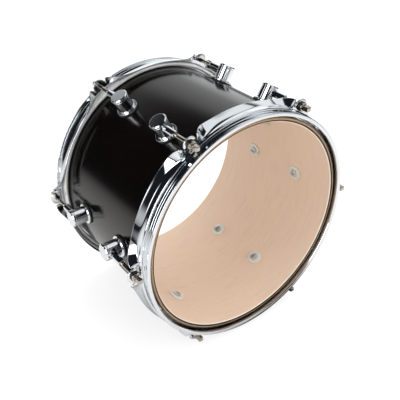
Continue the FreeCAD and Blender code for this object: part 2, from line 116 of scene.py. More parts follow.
def sheetLoop(middle, thickness, capSteps=7):
    # Closed section of a bent sheet: the middle line moved half a thickness to both sides,
    # with a half circle at both ends.
    half = thickness / 2
    along = unit(np.gradient(middle, axis=-2))
    side = np.stack([-along[..., 1], along[..., 0]], -1)
    swing = np.linspace(0, math.pi, capSteps + 2)[1:-1, None]

    def cap(end, direction):
        outward = along[..., end, None, :] * direction
        across = side[..., end, None, :] * direction
        return middle[..., end, None, :] + half * (across * np.cos(swing) + outward * np.sin(swing))

    upper, lower = middle + side * half, middle - side * half
    return np.concatenate([upper, cap(-1, 1), lower[..., ::-1, :], cap(0, -1)], -2)


# Surfaces

def fullTurn(segments):
    # Column of even angles once round.
    return np.linspace(0, 2 * math.pi, segments, endpoint=False)[:, None]


def turned(profile, segments):
    # Profile rows (radius, depth) turned about the drum's axis, as the batter end.
    angle = fullTurn(segments)
    radius, depth = profile[:, 0], profile[:, 1]
    level = np.broadcast_to(depth - rimY, (segments, len(profile)))
    return np.stack([radius * np.sin(angle), level, axisHeight + radius * np.cos(angle)], -1)


def turnedOnPost(profile, segments):
    # Profile rows (height, radius) turned about local X, which points out of the shell.
    angle = fullTurn(segments)
    height = np.broadcast_to(profile[:, 0], (segments, len(profile)))
    return np.stack([height, profile[:, 1] * np.cos(angle), profile[:, 1] * np.sin(angle)], -1)


def turnedAlong(profile, segments, height):
    # Profile rows (radius, y) turned about a line along local Y, at the given height along local X.
    angle = fullTurn(segments)
    level = np.broadcast_to(profile[:, 1], (segments, len(profile)))
    return np.stack([height + profile[:, 0] * np.cos(angle), level, profile[:, 0] * np.sin(angle)], -1)


def seatGrid(section, hollow, flat, segments):
    # Disc about local X: a section's second number goes from the shell's curve (0) to the flat face (1).
    angle = fullTurn(segments)
    y, z = section[:, 0] * np.cos(angle), section[:, 0] * np.sin(angle)
    curve = np.sqrt(hollow ** 2 - z ** 2)
    share = np.clip(section[:, 1], 0, 1)
    return np.stack([curve + (flat - curve) * share, y, z], -1)


def gridFaces(rows, columns, closedProfile):
    # Quads between neighbouring rows, which always close, and columns, which close if the profile does.
    row = np.arange(rows)[:, None]
    column = np.arange(columns if closedProfile else columns - 1)[None, :]
    nextRow, nextColumn = (row + 1) % rows, (column + 1) % columns
    corners = [row * columns + column, nextRow * columns + column,
               nextRow * columns + nextColumn, row * columns + nextColumn]
    return np.stack(corners, -1).reshape(-1, 4)


def gridMesh(name, points, closedProfile=True):
    # Mesh of one grid, or of several alike in a leading axis, with poles merged and faces outward.
    rows, columns = points.shape[-3:-1]
    copies = points.reshape(-1, rows * columns, 3)
    faces = gridFaces(rows, columns, closedProfile)
    faces = (np.arange(len(copies))[:, None, None] * rows * columns + faces).reshape(-1, 4)
    mesh = bpy.data.meshes.new(name)
    mesh.from_pydata(copies.reshape(-1, 3) * mm, [], faces)
    shape = bmesh.new()
    shape.from_mesh(mesh)
    bmesh.ops.remove_doubles(shape, verts=shape.verts, dist=meshing["weld"])
    bmesh.ops.recalc_face_normals(shape, faces=shape.faces)
    shape.to_mesh(mesh)
    shape.free()
    return mesh


def pin(centre, axis, radius, length, segments=32):
    # Plain closed cylinder about an axis, used to bore holes.
    angle = fullTurn(segments)
    reach = np.array([0, 1, 1, 0]) * radius
    level = np.array([-0.5, -0.5, 0.5, 0.5]) * length
    level = np.broadcast_to(level, (segments, len(level)))
    local = np.stack([reach * np.cos(angle), reach * np.sin(angle), level], -1)
    turn = np.array(Vector((0, 0, 1)).rotation_difference(Vector(axis)).to_matrix())
    return local @ turn.T + np.asarray(centre)


def bored(mesh, pins):
    # Takes cylinders out of a mesh and gives the finished mesh back.
    work = bpy.data.objects.new("work", mesh)
    tool = bpy.data.objects.new("tool", gridMesh("tool", np.stack(pins), closedProfile=False))
    for item in (work, tool):
        bpy.context.scene.collection.objects.link(item)
    cutter = work.modifiers.new("bores", "BOOLEAN")
    cutter.object, cutter.operation, cutter.solver = tool, "DIFFERENCE", "EXACT"
    result = bpy.data.meshes.new_from_object(work.evaluated_get(bpy.context.evaluated_depsgraph_get()))
    for item in (work, tool):
        bpy.data.objects.remove(item)
    result.name = mesh.name
    return result


# Places

def endTurn(end):
    # The resonant end is the batter end turned half way round about Z.
    return Matrix.Rotation(0 if end == "batter" else math.pi, 4, "Z")


def rodLine(angle):
    # X and Z of a rod's own axis, on the rod circle.
    turn = math.radians(angle)
    return rodRadius * math.sin(turn), axisHeight + rodRadius * math.cos(turn)


def lugPlace(end, angle):
    # Turns local X to the lug's radius and local -Y towards the lug's own hoop.
    flip = Matrix.Rotation(0 if end == "batter" else math.pi, 4, "X")
    row = -lugRow if end == "batter" else lugRow
    base = Matrix.Translation(Vector((0, row, axisHeight)) * mm)
    return base @ Matrix.Rotation(math.radians(angle - 90), 4, "Y") @ flip


def atEveryLug(points):
    # The same grid at all twelve lugs, still in millimetres.
    matrices = np.array([np.array(lugPlace(end, angle)) for end in ends for angle in lugAngles])
    turnedPoints = np.einsum("kij,rcj->krci", matrices[:, :3, :3], points)
    return turnedPoints + matrices[:, None, None, :3, 3] / mm


def restRoll():
    # Lays the finished drum down, turned about its own axis.
    axis = Matrix.Translation((0, 0, axisHeight * mm))
    return axis @ Matrix.Rotation(restTurn, 4, "Y") @ axis.inverted()


def moved(mesh, matrix):
    copy = mesh.copy()
    copy.transform(matrix)
    return copy


def place(mesh, node, material):
    # Shows a mesh in place of a CAD node, on the node's own body and finish.
    mesh.transform(restRoll())
    mesh.name = "shown_" + node
    mesh.shade_smooth()
    mesh.set_sharp_from_angle(angle=math.radians(meshing["sharpFrom"]))
    mesh.materials.clear()
    mesh.materials.append(material)
    piece = bpy.data.objects.new("shown_" + node, mesh)
    bpy.context.scene.collection.objects.link(piece)
    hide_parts(node)
    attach(piece, bodyOf[node])


# Shader helpers

def opaque(colour):
    return (*colour, 1)


def grey(level):
    return (level, level, level, 1)


def addNode(tree, kind, inputs=None, **settings):
    item = tree.nodes.new(kind)
    for name, value in settings.items():
        setattr(item, name, value)
    for name, value in (inputs or {}).items():
        if isinstance(value, bpy.types.NodeSocket):
            tree.links.new(value, item.inputs[name])
        else:
            item.inputs[name].default_value = value
    return item


def math2(tree, operation, first, second=0.0, clamp=False):
    item = addNode(tree, "ShaderNodeMath", {0: first, 1: second}, operation=operation, use_clamp=clamp)
    return item.outputs[0]


def vectorLength(tree, vector):
    return addNode(tree, "ShaderNodeVectorMath", {0: vector}, operation="LENGTH").outputs["Value"]


def noise(tree, vector, scale, detail, **inputs):
    values = {"Vector": vector, "Scale": scale, "Detail": detail, **inputs}
    return addNode(tree, "ShaderNodeTexNoise", values).outputs["Fac"]


def ramp(tree, value, low, high, lowTo=0.0, highTo=1.0):
    # Smooth step of a value between two levels.
    span = {"Value": value, "From Min": low, "From Max": high, "To Min": lowTo, "To Max": highTo}
    return addNode(tree, "ShaderNodeMapRange", span, interpolation_type="SMOOTHSTEP").outputs["Result"]


def mixColour(tree, factor, first, second):
    # Inputs 6 and 7 and output 2 are the node's colours.
    return addNode(tree, "ShaderNodeMix", {0: factor, 6: first, 7: second}, data_type="RGBA").outputs[2]


def mixValue(tree, factor, first, second):
    # Inputs 2 and 3 and output 0 are the node's plain numbers.
    return addNode(tree, "ShaderNodeMix", {0: factor, 2: first, 3: second}, data_type="FLOAT").outputs[0]


def startGroup(name, inputs, outputs):
    group = bpy.data.node_groups.new(name, "ShaderNodeTree")
    for label, default in inputs.items():
        socket = group.interface.new_socket(label, in_out="INPUT", socket_type="NodeSocketFloat")
        socket.default_value = default
    for label in outputs:
        group.interface.new_socket(label, in_out="OUTPUT", socket_type="NodeSocketFloat")
    return group, group.nodes.new("NodeGroupInput").outputs, group.nodes.new("NodeGroupOutput").inputs


def endGroup(group, sockets, results):
    for label, value in results.items():
        group.links.new(value, sockets[label])


def useGroup(tree, group, values):
    item = tree.nodes.new("ShaderNodeGroup")
    item.node_tree = group
    for label, value in values.items():
        item.inputs[label].default_value = value
    return item.outputs


def startMaterial(name, constants):
    material = bpy.data.materials.new(name)
    material.use_nodes = True
    tree = material.node_tree
    shader = tree.nodes["Principled BSDF"]
    for label, value in constants.items():
        shader.inputs[label].default_value = value
    return material, tree, shader


def addBump(tree, shader, height, strength, distance):
    bump = addNode(tree, "ShaderNodeBump", {"Height": height, "Strength": strength, "Distance": distance})
    tree.links.new(bump.outputs[0], shader.inputs["Normal"])


# Handling marks: cloudy smears and fine rubbed lines that vary the gloss and lift the surface a little
markSizes = {
    "smearDetail": 4, "smearRoughness": 0.6, "smearEdge": (0.4, 0.65), "lineDetail": 2,
    "lineStretch": (1, 0.08, 1), "lineShare": 0.7, "lineLeast": 0.5, "depth": 0.0002,   # depth in metres
}


def makeHandlingMarks():
    size = markSizes
    group, given, taken = startGroup(
        "handlingMarks", {"Smear Scale": 30, "Line Scale": 400, "Low": 0.04, "High": 0.1},
        ("Roughness", "Height", "Smear"))
    spot = addNode(group, "ShaderNodeTexCoord").outputs["Object"]
    cloud = noise(group, spot, given["Smear Scale"], size["smearDetail"],
                  Roughness=size["smearRoughness"])
    smear = ramp(group, cloud, *size["smearEdge"])
    stretched = addNode(group, "ShaderNodeMapping", {"Vector": spot, "Scale": size["lineStretch"]})
    line = noise(group, stretched.outputs[0], given["Line Scale"], size["lineDetail"])
    rubbedLinesAndEdgeShade = math2(group, "MULTIPLY", line, size["lineShare"])
    rubbedLinesAndEdgeShade = math2(group, "ADD", rubbedLinesAndEdgeShade, size["lineLeast"], clamp=True)
    marks = math2(group, "MULTIPLY", smear, rubbedLinesAndEdgeShade)
    spread = math2(group, "SUBTRACT", given["High"], given["Low"])
    gloss = math2(group, "ADD", given["Low"], math2(group, "MULTIPLY", marks, spread))
    endGroup(group, taken, {"Roughness": gloss, "Height": line, "Smear": smear})
    return group


# Ply grain: long streaks that run round the shell, from its own angle, length and radius
grainSizes = {
    "wanderScale": 7, "wanderDetail": 2, "wander": 0.12, "streakDetail": 3,
    "poresPerStreak": 4.0, "poreDetail": 1, "cloudScale": 14, "cloudDetail": 3,
}


def makePlyGrain():
    size = grainSizes
    group, given, taken = startGroup(
        "plyGrain", {"Streaks": 260, "Stretch": 9, "Softness": 0.5}, ("Grain", "Pores", "Cloud"))
    spot = addNode(group, "ShaderNodeTexCoord").outputs["Object"]
    x, y, z = addNode(group, "ShaderNodeSeparateXYZ", {0: spot}).outputs
    upright = math2(group, "SUBTRACT", z, axisHeight * mm)
    around = math2(group, "MULTIPLY", math2(group, "ARCTAN2", x, upright), shellRadius * mm)
    lengthways = math2(group, "MULTIPLY", y, given["Stretch"])
    wander = noise(group, spot, size["wanderScale"], size["wanderDetail"])
    bent = math2(group, "ADD", lengthways, math2(group, "MULTIPLY", wander, size["wander"]))
    field = addNode(group, "ShaderNodeCombineXYZ", {0: around, 1: bent, 2: 0.0}).outputs[0]
    poreScale = math2(group, "MULTIPLY", given["Streaks"], size["poresPerStreak"])
    endGroup(group, taken, {
        "Grain": noise(group, field, given["Streaks"], size["streakDetail"], Roughness=given["Softness"]),
        "Pores": noise(group, field, poreScale, size["poreDetail"]),
        "Cloud": noise(group, field, size["cloudScale"], size["cloudDetail"])})
    return group


handlingMarks = makeHandlingMarks()
plyGrain = makePlyGrain()


def useMarks(tree, finish):
    low, high = finish["gloss"]
    return useGroup(tree, handlingMarks, {
        "Smear Scale": finish["smears"], "Line Scale": finish["lines"], "Low": low, "High": high})


def makeFinish(name, finish):
    # Metal, plastic or rubber whose colour, gloss and surface shift a little with the handling marks.
    material, tree, shader = startMaterial(name, {"Metallic": finish["metallic"]})
    marks = useMarks(tree, finish)
    colour = mixColour(tree, marks["Smear"], opaque(finish["colour"]), opaque(finish["tint"]))
    tree.links.new(colour, shader.inputs["Base Color"])
    tree.links.new(marks["Roughness"], shader.inputs["Roughness"])
    addBump(tree, shader, marks["Height"], finish["bump"], markSizes["depth"])
    return material


# Shell: one turned board of plies, stained and lacquered outside, bare inside, both bearing edges cut.
# The bands of the edge begin at a distance outwards from the bore. A pale ring at the bore's corner
# is a painted highlight; a near-black ring over the cut and the bare ring's darkening outwards are
# painted shade.
shellSizes = {
    "wall": 6.4, "bearingCut": 2.0, "bearingLand": 0.8, "crownRound": 0.2, "boreRound": 0.4,
    "screwHole": 5.3, "ventHole": 9.8, "ventAngle": 60, "segments": 288, "steps": 8, "bandBlur": 0.15,
    "highlightFrom": 0.35, "shadeRingFrom": 0.95, "bareFrom": 3.1, "edgeShadeFrom": 3.6, "stainFrom": 6.2,
}
shellColours = {
    "stain": (0.0007, 0.0004, 0.0004), "stainWarm": (0.0042, 0.0024, 0.0019),
    "maple": (0.705, 0.545, 0.42), "mapleDark": (0.65, 0.50, 0.382), "paintedHighlightEdge": (0.86, 0.74, 0.62),
    "bareEdge": (0.36, 0.225, 0.125), "paintedShadeEdge": (0.09, 0.05, 0.028),
}
shellGrain = {
    "stained": {"Streaks": 120, "Stretch": 14, "Softness": 0.6},
    "bare": {"Streaks": 34, "Stretch": 9, "Softness": 0.55},
    "stainTone": (0.35, 0.75), "mapleTone": (0.42, 0.68), "mapleCloud": (0.3, 0.65), "pores": (0.3, 0.7),
    "lacquerGloss": (0.13, 0.2), "sandedGloss": (0.42, 0.55), "bump": 0.015, "bumpDepth": 0.0003,
}
shellGloss = {"IOR": 1.5, "Specular IOR Level": 0.42, "Specular Tint": (1.0, 0.96, 0.90, 1)}


def makeShellFinish():
    # The distance outwards from the bore tells the inside, the edge's rings and the outside apart;
    # the edge's rings hold a painted highlight and painted shade.
    size, grain = shellSizes, shellGrain
    tone = {name: opaque(colour) for name, colour in shellColours.items()}
    material, tree, shader = startMaterial("stainedShell", shellGloss)
    spot = addNode(tree, "ShaderNodeTexCoord").outputs["Object"]
    across = addNode(tree, "ShaderNodeSeparateXYZ", {0: spot}).outputs
    upright = math2(tree, "SUBTRACT", across["Z"], axisHeight * mm)
    squares = math2(tree, "ADD", math2(tree, "MULTIPLY", across["X"], across["X"]),
                    math2(tree, "MULTIPLY", upright, upright))
    depth = math2(tree, "SUBTRACT", math2(tree, "SQRT", squares), (shellRadius - size["wall"]) * mm)
    cut, paintedShadeRing, bareRing, outside = [
        ramp(tree, depth, (size[band] - size["bandBlur"]) * mm, (size[band] + size["bandBlur"]) * mm)
        for band in ("highlightFrom", "shadeRingFrom", "bareFrom", "stainFrom")]
    # Painted shade: the bare ring darkens outwards, to near black where it meets the stain.
    rubbedLinesAndEdgeShade = ramp(tree, depth, size["edgeShadeFrom"] * mm, size["stainFrom"] * mm)
    stained = useGroup(tree, plyGrain, grain["stained"])
    bare = useGroup(tree, plyGrain, grain["bare"])
    stainTone = ramp(tree, stained["Grain"], *grain["stainTone"])
    stainColour = mixColour(tree, stainTone, tone["stain"], tone["stainWarm"])
    mapleTone = math2(tree, "MULTIPLY", ramp(tree, bare["Grain"], *grain["mapleTone"]),
                      ramp(tree, bare["Cloud"], *grain["mapleCloud"]))
    wood = mixColour(tree, mapleTone, tone["maple"], tone["mapleDark"])
    # Painted highlight: a pale ring at the bore's corner.
    wood = mixColour(tree, cut, wood, tone["paintedHighlightEdge"])
    # Painted shade: the stain's near black laid over the rest of the cut and the land.
    wood = mixColour(tree, paintedShadeRing, wood, tone["stain"])
    edgeToneAndShade = mixColour(tree, rubbedLinesAndEdgeShade, tone["bareEdge"], tone["paintedShadeEdge"])
    wood = mixColour(tree, bareRing, wood, edgeToneAndShade)
    tree.links.new(mixColour(tree, outside, wood, stainColour), shader.inputs["Base Color"])
    lacquer = ramp(tree, stained["Pores"], *grain["pores"], *grain["lacquerGloss"])
    sanded = ramp(tree, bare["Pores"], *grain["pores"], *grain["sandedGloss"])
    tree.links.new(mixValue(tree, outside, sanded, lacquer), shader.inputs["Roughness"])
    addBump(tree, shader, stained["Grain"], grain["bump"], grain["bumpDepth"])
    return material


def makeShell():
    size = shellSizes
    bore = shellRadius - size["wall"]
    crownIn = bore + size["bearingCut"]
    crownOut = crownIn + size["bearingLand"]
    edgeRound = shellRadius - crownOut
    edge, cut = rimY - edgeY, size["bearingCut"]
    far = 2 * rimY - edge
    corners = [(crownIn, edge), (shellRadius, edge), (shellRadius, far), (crownIn, far),
               (bore, far - cut), (bore, edge + cut)]
    crown, inner = size["crownRound"], size["boreRound"]
    rounds = (crown, edgeRound, edgeRound, crown, inner, inner)
    outline = roundCorners(corners, rounds, size["steps"], closed=True)
    mesh = gridMesh("shell", turned(outline, size["segments"]))
    wallMiddle = shellRadius - size["wall"] / 2
    holes = [(angle, row, size["screwHole"]) for angle in lugAngles for row in (-lugRow, lugRow)]
    holes.append((size["ventAngle"], 0, size["ventHole"]))
    pins = []
    for angle, row, width in holes:
        out = np.array([math.sin(math.radians(angle)), 0, math.cos(math.radians(angle))])
        centre = out * wallMiddle + (0, row, axisHeight)
        pins.append(pin(centre, out, width / 2, size["wall"] * 2))
    place(bored(mesh, pins), "drum_shell", makeShellFinish())


makeShell()
print("shell made")

# Counter hoops: one bent sheet whose lower strip lies flat at the ears and is a skirt between them
hoopSizes = {
    "sheet": 1.7, "rimBore": 154.6, "rimEdge": 160.0, "shoulder": 12.2, "shoulderEdge": 161.7,
    "wall": 160.75, "earFace": 15.5, "earRound": 9.6, "earFlat": 13.5, "earNeck": 5.2, "bore": 6.5,
    "crease": 21.5, "skirtEnd": 33.2, "skirtEdge": 164.3, "turnLength": 13.0, "turnPower": 1.2,
    "creaseLength": 18.0, "creasePower": 1.5, "creaseSweep": 11.0,
    "wingStart": 9.8, "wingFull": 14.5, "wingSwell": 1.6, "swellLength": 18, "joinPower": 6,
    "bends": (1.05, 1.5, 1.4, 1.1), "bendSteps": 7, "nearAngle": 7, "nearSteps": 34, "farSteps": 20,
}
hoopFinish = {"colour": (0.80, 0.825, 0.85), "tint": (0.77, 0.79, 0.81), "gloss": (0.025, 0.06),
              "smears": 22, "lines": 260, "bump": 0.02, "metallic": 1.0}


def hoopAngles():
    # Six sectors, close set near the ear at the middle of each.
    size = hoopSizes
    sectorHalf = 180 / len(lugAngles)
    near = np.linspace(0, size["nearAngle"], size["nearSteps"], endpoint=False)
    far = np.linspace(size["nearAngle"], sectorHalf, size["farSteps"], endpoint=False)
    half = np.concatenate([near, far])
    sector = np.concatenate([[-sectorHalf], -half[:0:-1], half])
    angle = (lugAngles[:, None] + sector).ravel()
    return np.radians(angle), np.tile(sector, len(lugAngles))


def hoopGrid():
    # For every angle: rim, upper wall, shoulder, lower wall, then a strip of some length at some lean.
    # The lean falls from a right angle at the ear to the skirt's flare, as
    # exp(-(distance / turnLength) ^ turnPower), and the crease goes down in the same way.
    # Ear, wing and neck lengths join smoothly as (ear ^ p + wing ^ p + neck ^ p) ^ (1 / p).
    size = hoopSizes
    half = size["sheet"] / 2
    angle, sector = hoopAngles()
    reach = np.abs(np.radians(sector)) * rodRadius                  # distance from the nearest rod
    beyond = np.maximum(reach - size["earFlat"], 0)
    wall = size["wall"] - half
    earDepth = size["earFace"] + half
    skirtDrop = size["skirtEnd"] - half - size["crease"]
    skirtOut = size["skirtEdge"] - half - wall
    skirtLean = math.atan2(skirtOut, skirtDrop)
    upright = np.exp(-(beyond / size["turnLength"]) ** size["turnPower"])
    lean = skirtLean + (math.pi / 2 - skirtLean) * upright
    rise = 1 - np.exp(-(beyond / size["creaseLength"]) ** size["creasePower"])
    crease = earDepth + (size["crease"] - earDepth) * rise
    earLength = rodRadius - wall - half + np.sqrt(np.maximum(size["earRound"] ** 2 - reach ** 2, 0))
    earLength = np.where(reach < size["earRound"], earLength, 0)
    swell = size["wingSwell"] * np.exp(-((reach - size["wingFull"]) / size["swellLength"]) ** 2)
    opening = np.clip((reach - size["wingStart"]) / (size["wingFull"] - size["wingStart"]), 0, 1)
    wingLength = (math.hypot(skirtDrop, skirtOut) + swell) * np.sqrt(1 - (1 - opening) ** 2)
    power = size["joinPower"]
    length = (earLength ** power + wingLength ** power + size["earNeck"] ** power) ** (1 / power)
    count = len(angle)
    fixed = [(size["rimEdge"] - half, half), (size["rimBore"] + half, half),
             (size["rimBore"] + half, size["shoulder"] + half),
             (size["shoulderEdge"] - half, size["shoulder"] + half)]
    upper = np.broadcast_to(np.array(fixed), (count, len(fixed), 2))
    knee = np.stack([np.full(count, wall), crease], -1)
    tip = knee + length[:, None] * np.stack([np.sin(lean), np.cos(lean)], -1)
    middle = np.concatenate([upper, knee[:, None], tip[:, None]], 1)
    radii = np.tile((0, *size["bends"], 0), (count, 1))
    radii[:, -2] += size["creaseSweep"] * rise                      # the crease opens between the ears
    loop = sheetLoop(roundCorners(middle, radii, size["bendSteps"]), size["sheet"])
    radius, depth = loop[..., 0], loop[..., 1]
    turn = angle[:, None]
    return np.stack([radius * np.sin(turn), depth - rimY, axisHeight + radius * np.cos(turn)], -1)


def makeHoops():
    size = hoopSizes
    level = size["earFace"] + size["sheet"] / 2 - rimY
    pins = []
    for x, z in map(rodLine, lugAngles):
        pins.append(pin((x, level, z), (0, 1, 0), size["bore"] / 2, size["sheet"] * 3))
    mesh = bored(gridMesh("hoop", hoopGrid()), pins)
    chrome = makeFinish("hoopChrome", hoopFinish)
    for end in ends:
        place(moved(mesh, endTurn(end)), f"{end}_hoop", chrome)


makeHoops()
print("hoops made")

# Heads: clear film crimped in a metal channel. Rounds go with the corners of each outline.
headSizes = {
    "filmTop": 5.05, "film": 0.35, "collar": 152.85, "collarDrop": 1.6, "collarTurn": 14.3,
    "beadIn": 154.8, "beadOut": 157.1, "beadEnd": 22.8,
    "channelIn": 153.2, "channelOut": 158.7, "channelTop": 13.9, "channelInnerTop": 15.05,
    "channelEnd": 24.9, "channelWall": 1.5, "channelFloor": 2.0,
    "filmRounds": (0, 1.6, 0.6, 0.2, 0.3, 0.4, 0.4, 0.2, 0.2, 0.3, 1.3, 0),
    "channelRounds": (0.5, 0.5, 0.3, 0.3, 0.5, 0.5, 2.7, 2.7), "segments": 288,
}
filmFinish = {"colour": (0.55, 0.57, 0.58), "gloss": (0.05, 0.12), "smears": 9, "lines": 300,
              "bending": 1.5, "veil": (0.006, 0.012), "edgeBlend": 0.12, "edgeVeil": 0.12}
channelFinish = {"colour": (0.88, 0.88, 0.87), "tint": (0.82, 0.82, 0.81), "gloss": (0.28, 0.4),
                 "smears": 40, "lines": 700, "bump": 0.04, "metallic": 0.5}


def makeFilmFinish():
    # Clear film: light goes through, the gloss and a thin milky veil stay,
    # and the veil closes up where the film is seen edge on.
    finish = filmFinish
    material, tree, shader = startMaterial(
        "clearFilm", {"Base Color": opaque(finish["colour"]), "IOR": finish["bending"]})
    marks = useMarks(tree, finish)
    tree.links.new(marks["Roughness"], shader.inputs["Roughness"])
    facing = addNode(tree, "ShaderNodeLayerWeight", {"Blend": finish["edgeBlend"]}).outputs["Fresnel"]
    edgeVeil = math2(tree, "MULTIPLY", facing, finish["edgeVeil"])
    veil = ramp(tree, marks["Smear"], 0.0, 1.0, *finish["veil"])
    tree.links.new(math2(tree, "ADD", veil, edgeVeil, clamp=True), shader.inputs["Alpha"])
    return material


def makeHeads():
    size = headSizes
    top, bottom = size["filmTop"], size["filmTop"] + size["film"]
    collarIn, collarOut = size["collar"], size["collar"] + size["film"]
    over, under = size["collarTurn"], size["collarTurn"] + size["film"]
    turnIn = collarIn - size["collarDrop"]
    slopeEnd = bottom + size["collarDrop"]
    mitre = size["film"] * math.tan(math.pi / 8)
    film = roundCorners([
        (0, top), (turnIn + mitre, top), (collarOut, slopeEnd - mitre), (collarOut, over),
        (size["beadOut"], over), (size["beadOut"], size["beadEnd"]), (size["beadIn"], size["beadEnd"]),
        (size["beadIn"], under), (collarIn, under), (collarIn, slopeEnd), (turnIn, bottom), (0, bottom),
    ], size["filmRounds"])
    inner, outer = size["channelIn"], size["channelOut"]
    inWall, outWall = inner + size["channelWall"], outer - size["channelWall"]
    innerTop, outerTop = size["channelInnerTop"], size["channelTop"]
    under, floor = size["channelEnd"], size["channelEnd"] - size["channelFloor"]
    channel = roundCorners([
        (inner, innerTop), (inWall, innerTop), (inWall, floor), (outWall, floor),
        (outWall, outerTop), (outer, outerTop), (outer, under), (inner, under),
    ], size["channelRounds"], closed=True)
    filmMesh = gridMesh("film", turned(film, size["segments"]), closedProfile=False)
    channelMesh = gridMesh("channel", turned(channel, size["segments"]))
    filmClear = makeFilmFinish()
    channelMetal = makeFinish("channelMetal", channelFinish)
    for end in ends:
        place(moved(filmMesh, endTurn(end)), f"{end}_film", filmClear)
        place(moved(channelMesh, endTurn(end)), f"{end}_flesh_hoop", channelMetal)


makeHeads()
print("heads made")

# Tension rods: threaded shank, round collar, square head for a drum key
rodSizes = {
    "keyTop": 1.0, "keySquare": 6.35, "keyPower": 9, "keyFlat": 0.72, "keyCrown": 0.15, "keyDome": 0.9,
    "keyFoot": 0.2, "collarTop": 11.0, "collarSeat": 13.5, "collarFrom": 1.3, "collar": 5.75,
    "shank": 2.7, "crest": 2.75, "root": 2.32,
    "threadFrom": 40.0, "threadIn": 0.2, "threadOut": 0.8, "fadeTurns": 2,
    "pitch": 25.4 / 24, "flankSlope": 1.6, "flankDrop": 0.3, "tip": 68.5, "tipBevel": 0.6,
    "keyRounds": (0, 0.8, 0.5, 0), "collarRounds": (0, 0.5, 0.3, 0.3, 0), "steps": 5,
    "segments": 24, "rowsPerTurn": 6,
}
washerSizes = {"outer": 6.4, "bore": 3.0, "top": 13.5, "bottom": 15.5, "round": 0.45,
               "steps": 5, "segments": 40}
rodFinish = {"colour": (0.55, 0.49, 0.425), "tint": (0.47, 0.41, 0.355), "gloss": (0.09, 0.18),
             "smears": 90, "lines": 700, "bump": 0.05, "metallic": 1.0}
washerFinish = {"colour": (0.011, 0.011, 0.012), "tint": (0.02, 0.02, 0.021), "gloss": (0.25, 0.4),
                "smears": 60, "lines": 900, "bump": 0.05, "metallic": 0.0}


def rodGrid():
    # Rows from the head to the point. In the thread the radius goes up and down with the row's place
    # in the pitch, shifted by the angle, which makes the helix.
    # In the key the radius follows |cos|^p + |sin|^p = 1, a rounded square.
    size = rodSizes
    half, tip, root, shank = size["keySquare"] / 2, size["tip"], size["root"], size["shank"]
    head = roundCorners([
        (0, size["keyTop"]), (half * size["keyFlat"], size["keyTop"] + size["keyCrown"]),
        (half, size["keyTop"] + size["keyDome"]), (half, size["collarTop"] - size["keyFoot"]),
    ], size["keyRounds"], size["steps"])
    collar = roundCorners([
        (half * size["collarFrom"], size["collarTop"]), (size["collar"], size["collarTop"]),
        (size["collar"], size["collarSeat"]), (shank, size["collarSeat"]), (shank, size["threadFrom"]),
    ], size["collarRounds"], size["steps"])
    rows = int((tip - size["threadFrom"]) / size["pitch"] * size["rowsPerTurn"])
    depth = np.linspace(size["threadFrom"] + size["threadIn"], tip - size["threadOut"], rows)
    angle = fullTurn(size["segments"])
    phase = (depth / size["pitch"] - angle / (2 * math.pi)) % 1
    height = np.clip(size["flankSlope"] * np.abs(2 * phase - 1) - size["flankDrop"], 0, 1)
    fade = np.clip((depth - size["threadFrom"]) / (size["fadeTurns"] * size["pitch"]), 0, 1)
    thread = shank + fade * (root + (size["crest"] - root) * height - shank)
    power = size["keyPower"]
    square = (np.abs(np.cos(angle)) ** power + np.abs(np.sin(angle)) ** power) ** (-1 / power)
    point = np.array([[root, tip - size["tipBevel"]], [root - size["tipBevel"], tip], [0, tip]])
    count = size["segments"]
    radius = np.concatenate([
        head[:, 0] * square, np.broadcast_to(collar[:, 0], (count, len(collar))), thread,
        np.broadcast_to(point[:, 0], (count, len(point)))], 1)
    level = np.broadcast_to(np.concatenate([head[:, 1], collar[:, 1], depth, point[:, 1]]), radius.shape)
    return np.stack([radius * np.cos(angle), level - rimY, radius * np.sin(angle)], -1)


def makeRods():
    nickel = makeFinish("rodNickel", rodFinish)
    black = makeFinish("washerBlack", washerFinish)
    rodMesh = gridMesh("rod", rodGrid(), closedProfile=False)
    size = washerSizes
    ring = roundCorners([
        (size["bore"], size["top"]), (size["outer"], size["top"]),
        (size["outer"], size["bottom"]), (size["bore"], size["bottom"]),
    ], size["round"], size["steps"], closed=True)
    washer = turnedAlong(ring - (0, rimY), size["segments"], 0)
    spots = np.array([(x, 0, z) for x, z in map(rodLine, lugAngles)])
    washerMesh = gridMesh("washers", washer + spots[:, None, None])
    for end in ends:
        for index, spot in enumerate(spots, 1):
            stand = Matrix.Translation(Vector(spot) * mm) @ endTurn(end)
            place(moved(rodMesh, stand), f"{end}_tension_rod_{index}", nickel)
        place(moved(washerMesh, endTurn(end)), f"{end}_rod_washers", black)


makeRods()
print("rods made")

# Lugs: turret with a flared foot and a bevelled cap, cross bored for a chromed sleeve, on a rubber pad
lugSizes = {
    "foot": 14.2, "footHeight": 1.6, "body": 11.2, "neck": 10.8, "neckHeight": 0.8, "cap": 11.6,
    "capHeight": 3.2, "bevel": 1.35, "crown": 9.0, "sleeveBore": 4.55, "sleeveTail": 6.0, "boreReach": 30,
    "rounds": (0, 0.2, 0.7, 0.7, 0.3, 0.1, 0.1, 0.25, 0.6, 0.5, 0), "segments": 72, "boreSegments": 40,
}
sleeveSizes = {
    "outer": 4.5, "bore": 2.8, "reach": 31.8, "tail": 6.0, "bevel": 0.5, "sink": 0.7,
    "rounds": (0.12, 0.2, 0.3, 0.2, 0.1, 0.12), "steps": 4, "segments": 40,
}
padSizes = {"outer": 14.9, "sheet": 1.6, "hole": 2.65, "play": 0.05,
            "rounds": (0.1, 0.1, 0.35, 0.1), "steps": 5, "segments": 64}
lugFinish = {"colour": (0.82, 0.84, 0.86), "tint": (0.78, 0.80, 0.82), "gloss": (0.025, 0.06),
             "smears": 60, "lines": 500, "bump": 0.02, "metallic": 1.0}
padFinish = {"colour": (0.010, 0.010, 0.010), "tint": (0.018, 0.018, 0.018), "gloss": (0.45, 0.65),
             "smears": 60, "lines": 900, "bump": 0.05, "metallic": 0.0}
lugSeat = shellRadius + padSizes["sheet"]


